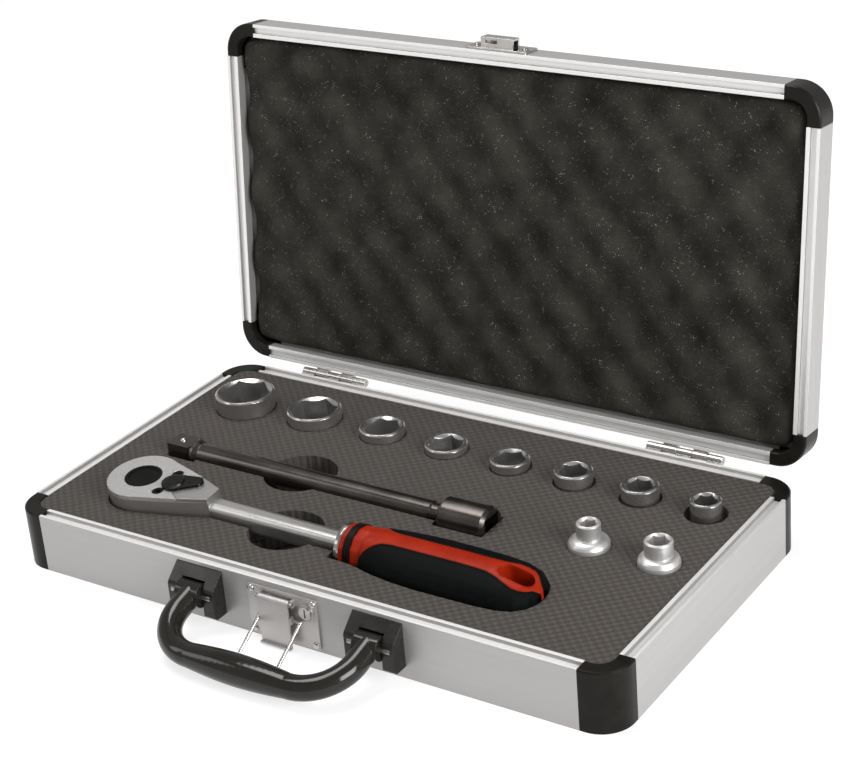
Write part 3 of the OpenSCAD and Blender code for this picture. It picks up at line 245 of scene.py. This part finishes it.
gripRed = mouldedPlastic("gripRed", redLook)
blackPart = mouldedPlastic("blackPart", blackPartLook)
switchPlastic = mouldedPlastic("switchPlastic", switchLook)
gripRubber = mouldedPlastic("gripRubber", padLook)
floorPanel = mouldedPlastic("floorPanel", floorPanelLook)
for corner in ("fl", "fr", "bl", "br"):
    dress("base_corner_" + corner, cornerPlastic)
    dress("lid_corner_" + corner, cornerPlastic)
for nodeName in ("handle_bracket_left", "handle_bracket_right"):
    dress(nodeName, bracketPlastic)
dress("carry_handle", handlePlastic)
dress("grip_core", gripRed)
dress("grip_pads", gripRubber)
for nodeName in ("cover_screws", "release_button", "grip_ring"):
    dress(nodeName, blackPart)
dress("reversing_lever", switchPlastic)
dress("base_panel", floorPanel)


# ---------- the lid's outer sheet, pressed with small pyramids ----------

sheetLook = {"dark": (0.20, 0.195, 0.19), "light": (0.27, 0.265, 0.26), "pitch": 0.006, "bump": 0.0006,
             "groove": 0.1, "peakHighlight": 0.6, "rough": 0.42, "metal": 0.6}


def diamondWaves(tree, pitch, plane):
    axes = coordAxes(tree, "Object")
    first, second = (axes[axis.upper()] for axis in plane)
    waves = []
    for sign in ("ADD", "SUBTRACT"):
        phase = maths(tree, "MULTIPLY", maths(tree, sign, first, second), math.pi / pitch)
        waves.append(maths(tree, "ABSOLUTE", maths(tree, "SINE", phase)))
    return maths(tree, "MINIMUM", *waves)


def pressedSheet():
    mat, tree, shader = startMaterial("lidSheet")
    height = diamondWaves(tree, sheetLook["pitch"], "xz")
    # colour follows the pyramid height: grooves painted darker as painted shade, peaks lighter as painted
    # highlight
    colour = rampBetween(tree, height, sheetLook["dark"], sheetLook["light"],
                         sheetLook["groove"], sheetLook["peakHighlight"])
    tree.links.new(colour, shader.inputs["Base Color"])
    shader.inputs["Roughness"].default_value = sheetLook["rough"]
    shader.inputs["Metallic"].default_value = sheetLook["metal"]
    bumpFrom(tree, shader, height, sheetLook["bump"], 0.6)
    return mat


dress("lid_panel", pressedSheet())


# ---------- plated steel ----------

def platedSteel(name, look):
    mat, tree, shader = startMaterial(name)
    coords = objectCoords(tree)
    smear = noiseFrom(tree, coords, look["smear"], 4)
    tree.links.new(rampBetween(tree, smear, look["dark"], look["light"]), shader.inputs["Base Color"])
    tree.links.new(spread(tree, smear, look["roughLow"], look["roughHigh"]), shader.inputs["Roughness"])
    shader.inputs["Metallic"].default_value = look.get("metal", 1.0)
    grain = noiseFrom(tree, coords, look["grain"], 2)
    bumpFrom(tree, shader, grain, look["bump"], 0.5, look["edge"])
    return mat


nickelLook = {"dark": (0.42, 0.40, 0.385), "light": (0.56, 0.54, 0.52), "smear": 70, "roughLow": 0.16,
              "roughHigh": 0.28, "grain": 900, "bump": 0.00003, "edge": 0.0004}
plateLook = {"dark": (0.40, 0.385, 0.375), "light": (0.47, 0.455, 0.445), "smear": 60, "roughLow": 0.30,
             "roughHigh": 0.40, "grain": 900, "bump": 0.00002, "edge": 0.0005, "metal": 0.75}
chromeLook = {"dark": (0.40, 0.39, 0.38), "light": (0.50, 0.49, 0.48), "smear": 60, "roughLow": 0.16,
              "roughHigh": 0.24, "grain": 500, "bump": 0.00001, "edge": 0.0004}
socketLook = {"dark": (0.50, 0.49, 0.48), "light": (0.60, 0.59, 0.58), "smear": 60, "roughLow": 0.20,
              "roughHigh": 0.28, "grain": 500, "bump": 0.00001, "edge": 0.0004, "metal": 0.95}
# flanged sockets: a rougher satin finish, with a base colour raised above the other sockets as a painted highlight
# standing in for the flange glare
flangeGlareLook = {"dark": (0.60, 0.59, 0.58), "light": (0.70, 0.69, 0.68), "smear": 60, "roughLow": 0.34,
              "roughHigh": 0.42, "grain": 1500, "bump": 0.00001, "edge": 0.0004, "metal": 0.8}
# extension bar: base colour darkened far below chrome as painted shade, standing in for the dark surroundings it
# reflects
barShadeLook = {"dark": (0.065, 0.058, 0.053), "light": (0.10, 0.091, 0.084), "smear": 40, "roughLow": 0.18,
           "roughHigh": 0.26, "grain": 500, "bump": 0.00001, "edge": 0.0005, "metal": 0.9}
satinLook = {"dark": (0.33, 0.32, 0.31), "light": (0.52, 0.51, 0.50), "smear": 1500, "roughLow": 0.32,
             "roughHigh": 0.44, "grain": 1800, "bump": 0.00003, "edge": 0.0006, "metal": 0.6}
shankLook = {"dark": (0.46, 0.45, 0.435), "light": (0.51, 0.50, 0.485), "smear": 40, "roughLow": 0.26,
             "roughHigh": 0.30, "grain": 300, "bump": 0.0000005, "edge": 0.0005, "metal": 0.88}
steelLook = {"dark": (0.30, 0.295, 0.29), "light": (0.40, 0.395, 0.39), "smear": 90, "roughLow": 0.28,
             "roughHigh": 0.4, "grain": 1200, "bump": 0.00003, "edge": 0.0003}
nickel = platedSteel("nickel", nickelLook)
chrome = platedSteel("chrome", chromeLook)
barShadedChrome = platedSteel("barShadedChrome", barShadeLook)
socketChrome = platedSteel("socketChrome", socketLook)
flangeGlareChrome = platedSteel("flangeGlareChrome", flangeGlareLook)
satinChrome = platedSteel("satinChrome", satinLook)
plainSteel = platedSteel("plainSteel", steelLook)
shankChrome = platedSteel("shankChrome", shankLook)
plateNickel = platedSteel("plateNickel", plateLook)
for nodeName in ("hinge_base_leaves", "hinge_lid_leaves", "base_rivets", "lid_rivets", "latch_bail",
                 "lock_barrel", "lid_catch"):
    dress(nodeName, nickel)
for nodeName in ("latch_plate", "latch_ears", "lock_bezel", "latch_lever"):
    dress(nodeName, plateNickel)
for nodeName in ("hinge_pins", "handle_pins", "latch_pin", "drive_gear", "drive_square", "selector_pawl"):
    dress(nodeName, plainSteel)
for nodeName in ("grip_collar", "extension_ball"):
    dress(nodeName, chrome)
dress("extension_bar", barShadedChrome)
for nodeName in nodes:
    if nodeName.startswith("socket_"):
        flanged = nodeName in ("socket_8", "socket_10")
        dress(nodeName, flangeGlareChrome if flanged else socketChrome)
dress("ratchet_body", shankChrome)
dress("ratchet_cover", satinChrome)
print("metal and plastic finishes done")


# ---------- foam tray ----------

trayFoam = {"edge": 0.0009, "thinEdge": 0.0004, "dark": (0.048, 0.043, 0.039), "light": (0.074, 0.066, 0.060),
            "pitch": 0.0054, "studStart": -0.6, "studFull": 0.8, "emboss": 0.0009, "cells": 2600, "cellShare": 0.5,
            "rampLow": 0.1, "rampHigh": 1.2, "rough": 0.85, "gloss": 0.15, "weld": 0.000005, "flatAngle": 1,
            "roundAngle": 35}


def studWaves(tree, pitch, plane):
    axes = coordAxes(tree, "Object")
    waves = []
    for axis in plane:
        phase = maths(tree, "MULTIPLY", axes[axis.upper()], 2 * math.pi / pitch)
        waves.append(maths(tree, "COSINE", phase))
    studs = maths(tree, "MULTIPLY", *waves)
    return remap(tree, studs, trayFoam["studStart"], trayFoam["studFull"], kind="SMOOTHSTEP")


def trayFoamMaterial():
    mat, tree, shader = startMaterial("trayFoam")
    emboss = studWaves(tree, trayFoam["pitch"], "xy")
    cells = noiseFrom(tree, objectCoords(tree), trayFoam["cells"], 2)
    height = maths(tree, "MULTIPLY_ADD", cells, trayFoam["cellShare"], emboss)
    # colour follows the stud height mixed with random cells: troughs painted darker as painted shade, crests
    # lighter as painted highlight
    colour = rampBetween(tree, height, trayFoam["dark"], trayFoam["light"],
                         trayFoam["rampLow"], trayFoam["rampHigh"])
    tree.links.new(colour, shader.inputs["Base Color"])
    shader.inputs["Roughness"].default_value = trayFoam["rough"]
    shader.inputs["Specular IOR Level"].default_value = trayFoam["gloss"]
    bumpFrom(tree, shader, height, trayFoam["emboss"], 0.7)
    return mat


def cutFoam(nodeName, pieceName, mat):
    bm = bmesh.new()
    bm.from_mesh(nodes[nodeName].data)
    bmesh.ops.remove_doubles(bm, verts=bm.verts, dist=trayFoam["weld"])
    flat = math.radians(trayFoam["flatAngle"])
    bmesh.ops.dissolve_limit(bm, angle_limit=flat, verts=bm.verts, edges=bm.edges)
    mesh = bpy.data.meshes.new(pieceName)
    bm.to_mesh(mesh)
    bm.free()
    foam = bpy.data.objects.new(pieceName, mesh)
    bpy.context.scene.collection.objects.link(foam)
    mesh.materials.append(mat)
    rounding = foam.modifiers.new("softEdges", "BEVEL")
    rounding.width = trayFoam["edge"] if nodeName == "foam_tray" else trayFoam["thinEdge"]
    rounding.segments = 3
    rounding.limit_method = "ANGLE"
    rounding.angle_limit = math.radians(trayFoam["roundAngle"])
    for face in mesh.polygons:
        face.use_smooth = True
    normals = foam.modifiers.new("flatFaces", "WEIGHTED_NORMAL")
    normals.keep_sharp = False
    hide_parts(nodeName)
    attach(foam, "case")


embossedFoam = trayFoamMaterial()
foamPieces = (("foam_tray", "foamTray"), ("foam_base", "foamBase"), ("foam_spacers", "foamSpacers"))
for nodeName, pieceName in foamPieces:
    cutFoam(nodeName, pieceName, embossedFoam)
print("foam tray done")


# ---------- egg-crate foam of the lid ----------

lidFoam = {"width": 0.352, "depth": 0.185, "thick": 0.0118, "waveX": 0.034, "waveY": 0.020, "wave": 0.0055,
           "corner": 0.010, "roll": 0.004, "stepsX": 250, "stepsY": 132,
           "dark": (0.013, 0.0125, 0.010), "light": (0.036, 0.035, 0.029), "speck": (0.22, 0.215, 0.20),
           "speckScale": 900, "speckSpread": 300, "speckStart": 0.36, "speckFull": 0.52,
           "cells": 1500, "cellShare": 0.6, "patches": 45, "rampLow": 0.6, "rampHigh": 1.0, "cellBump": 0.0004,
           "rough": 0.92, "gloss": 0.15, "swell": 0.8, "ripple": 0.0005, "rippleScale": 60, "rippleSlice": 0.3,
           "rollDrop": 0.0028, "middle": 0.5}
openAngle = math.radians(96)
hinge = Vector((0, 0.105, 0.03415))
lidBack = 0.0475


def lidFoamMaterial():
    mat, tree, shader = startMaterial("lidFoam")
    coords = objectCoords(tree)
    cells = noiseFrom(tree, coords, lidFoam["cells"], 3)
    patches = noiseFrom(tree, coords, lidFoam["patches"], 3)
    depth = maths(tree, "MULTIPLY_ADD", cells, lidFoam["cellShare"], patches)
    colour = rampBetween(tree, depth, lidFoam["dark"], lidFoam["light"],
                         lidFoam["rampLow"], lidFoam["rampHigh"])
    specks = tree.nodes.new("ShaderNodeTexVoronoi")
    specks.inputs["Scale"].default_value = lidFoam["speckScale"]
    tree.links.new(coords, specks.inputs["Vector"])
    chosen = noiseFrom(tree, coords, lidFoam["speckSpread"], 2)
    spot = maths(tree, "SUBTRACT", chosen, specks.outputs["Distance"])
    mask = rampBetween(tree, spot, (0, 0, 0), (1, 1, 1), lidFoam["speckStart"], lidFoam["speckFull"])
    tree.links.new(tinted(tree, mask, colour, lidFoam["speck"]), shader.inputs["Base Color"])
    shader.inputs["Roughness"].default_value = lidFoam["rough"]
    shader.inputs["Specular IOR Level"].default_value = lidFoam["gloss"]
    bumpFrom(tree, shader, cells, lidFoam["cellBump"], 0.8)
    return mat


def foamHeight(x, y):
    wave = math.cos(2 * math.pi * x / lidFoam["waveX"]) * math.cos(math.pi * y / lidFoam["waveY"])
    swell = 1 - 0.5 * (1 - wave)
    top = lidFoam["thick"] - lidFoam["wave"] * (1 - swell ** lidFoam["swell"])
    fine = lidFoam["rippleScale"]
    top += lidFoam["ripple"] * noise.noise(Vector((x * fine, y * fine, lidFoam["rippleSlice"])))
    edge = min(lidFoam["width"] / 2 - abs(x), lidFoam["depth"] / 2 - abs(y))
    if edge < lidFoam["roll"]:
        drop = 1 - edge / lidFoam["roll"]
        top -= lidFoam["rollDrop"] * (1 - math.sqrt(max(0, 1 - drop * drop)))
    return top


def eggCrateFoam():
    halfW, halfD, r = lidFoam["width"] / 2, lidFoam["depth"] / 2, lidFoam["corner"]
    nx, ny = lidFoam["stepsX"], lidFoam["stepsY"]
    bm = bmesh.new()
    turn = Matrix.Rotation(-openAngle, 3, "X")

    def place(x, y, height):
        shut = Vector((x, y, lidBack - height))
        return turn @ (shut - hinge) + hinge

    def rounded(x, y):
        dx, dy = abs(x) - (halfW - r), abs(y) - (halfD - r)
        if dx > 0 and dy > 0:
            reach = max(dx, dy)
            length = math.hypot(dx, dy)
            dx, dy = dx * reach / length, dy * reach / length
            return math.copysign(halfW - r + dx, x), math.copysign(halfD - r + dy, y)
        return x, y

    face, back = [], []
    for j in range(ny + 1):
        for i in range(nx + 1):
            x, y = rounded(-halfW + 2 * halfW * i / nx, -halfD + 2 * halfD * j / ny)
            face.append(bm.verts.new(place(x, y, foamHeight(x, y))))
            back.append((x, y))
    for j in range(ny):
        for i in range(nx):
            a = j * (nx + 1) + i
            bm.faces.new((face[a], face[a + nx + 1], face[a + nx + 2], face[a + 1]))
    rim = list(range(nx + 1)) + [j * (nx + 1) + nx for j in range(1, ny + 1)]
    rim += [ny * (nx + 1) + i for i in range(nx - 1, -1, -1)] + [j * (nx + 1) for j in range(ny - 1, 0, -1)]
    loops = []
    for height in (lidFoam["middle"], 0.0):
        loops.append([bm.verts.new(place(*back[k], foamHeight(*back[k]) * height)) for k in rim])
    above = [face[k] for k in rim]
    for ring in loops:
        for k in range(len(rim)):
            n = (k + 1) % len(rim)
            bm.faces.new((above[k], above[n], ring[n], ring[k]))
        above = ring
    bm.faces.new(list(reversed(above)))
    bmesh.ops.recalc_face_normals(bm, faces=bm.faces)
    mesh = bpy.data.meshes.new("lidFoam")
    bm.to_mesh(mesh)
    bm.free()
    for polygon in mesh.polygons:
        polygon.use_smooth = len(polygon.vertices) == 4
    foam = bpy.data.objects.new("lidFoam", mesh)
    bpy.context.scene.collection.objects.link(foam)
    mesh.materials.append(lidFoamMaterial())
    return foam


eggCrate = eggCrateFoam()
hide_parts("lid_foam")
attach(eggCrate, "lid")
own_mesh(eggCrate)
print("lid foam done")


# ---------- floor, light and camera ----------

studio = {"floor": (0.34, 0.34, 0.34), "floorSize": 12, "floorGap": 0.0002, "floorRough": 0.9, "floorGloss": 0.1,
          "glow": 0.72, "sky": 0.5, "skyTop": (0.55, 0.55, 0.55), "skyTopHeight": 0.9,
          "key": 20.0, "side": 30.0, "back": 3.0}


def makeFloor():
    height = cadBox[0].z - studio["floorGap"]
    bpy.ops.mesh.primitive_plane_add(size=studio["floorSize"], location=(0, 0, height))
    floor = bpy.context.object
    floor.name = "floor"
    mat, tree, shader = startMaterial("paleFloor")
    shader.inputs["Base Color"].default_value = (*studio["floor"], 1)
    shader.inputs["Roughness"].default_value = studio["floorRough"]
    shader.inputs["Specular IOR Level"].default_value = studio["floorGloss"]
    shader.inputs["Emission Color"].default_value = (1, 1, 1, 1)
    shader.inputs["Emission Strength"].default_value = studio["glow"]
    floor.data.materials.append(mat)


def makeSky():
    world = bpy.data.worlds.new("softRoom")
    world.use_nodes = True
    bpy.context.scene.world = world
    tree = world.node_tree
    back = tree.nodes["Background"]
    tone = rampBetween(tree, coordAxes(tree, "Generated")["Z"], (1, 1, 1), studio["skyTop"], 0.0,
                       studio["skyTopHeight"])
    tree.links.new(tone, back.inputs["Color"])
    back.inputs["Strength"].default_value = studio["sky"]


def areaLight(name, spot, target, size, power):
    data = bpy.data.lights.new(name, "AREA")
    data.shape = "RECTANGLE"
    data.size, data.size_y = size
    data.energy = power
    lamp = bpy.data.objects.new(name, data)
    bpy.context.scene.collection.objects.link(lamp)
    lamp.location = spot
    lamp.rotation_euler = (Vector(target) - Vector(spot)).to_track_quat("-Z", "Y").to_euler()


cameraPlace = {"spot": (0.58043, -0.78569, 0.56763), "azimuth": 35.2072, "elevation": 25.7063,
               "roll": -4.9587, "focalPixels": 2095.893, "frameWidth": 859, "sensor": 36, "clip": (0.05, 30)}


def makeCamera():
    azimuth, elevation = (math.radians(cameraPlace[k]) for k in ("azimuth", "elevation"))
    roll = math.radians(cameraPlace["roll"])
    back = Vector((math.sin(azimuth) * math.cos(elevation), -math.cos(azimuth) * math.cos(elevation),
                   math.sin(elevation)))
    right = (-back).cross(Vector((0, 0, 1))).normalized()
    down = (-back).cross(right)
    rolledRight = math.cos(roll) * right - math.sin(roll) * down
    rolledDown = math.sin(roll) * right + math.cos(roll) * down
    data = bpy.data.cameras.new("photoCamera")
    data.sensor_fit = "HORIZONTAL"
    data.sensor_width = cameraPlace["sensor"]
    data.lens = cameraPlace["focalPixels"] / cameraPlace["frameWidth"] * cameraPlace["sensor"]
    data.clip_start, data.clip_end = cameraPlace["clip"]
    camera = bpy.data.objects.new("camera", data)
    bpy.context.scene.collection.objects.link(camera)
    turn = Matrix((rolledRight, -rolledDown, back)).transposed().to_4x4()
    camera.matrix_world = Matrix.Translation(Vector(cameraPlace["spot"])) @ turn
    bpy.context.scene.camera = camera


bpy.context.scene.view_settings.view_transform = "Standard"
makeFloor()
makeSky()
areaLight("overheadSoftbox", (-0.4, 0.1, 1.5), (0, 0, 0), (1.1, 0.7), studio["key"])
areaLight("rightSoftbox", (1.5, -0.4, 0.7), (0, 0, 0.05), (0.8, 0.9), studio["side"])
areaLight("leftSoftbox", (-1.2, -0.9, 0.9), (0, 0, 0.05), (0.4, 0.8), studio["back"])
makeCamera()
print("studio done")
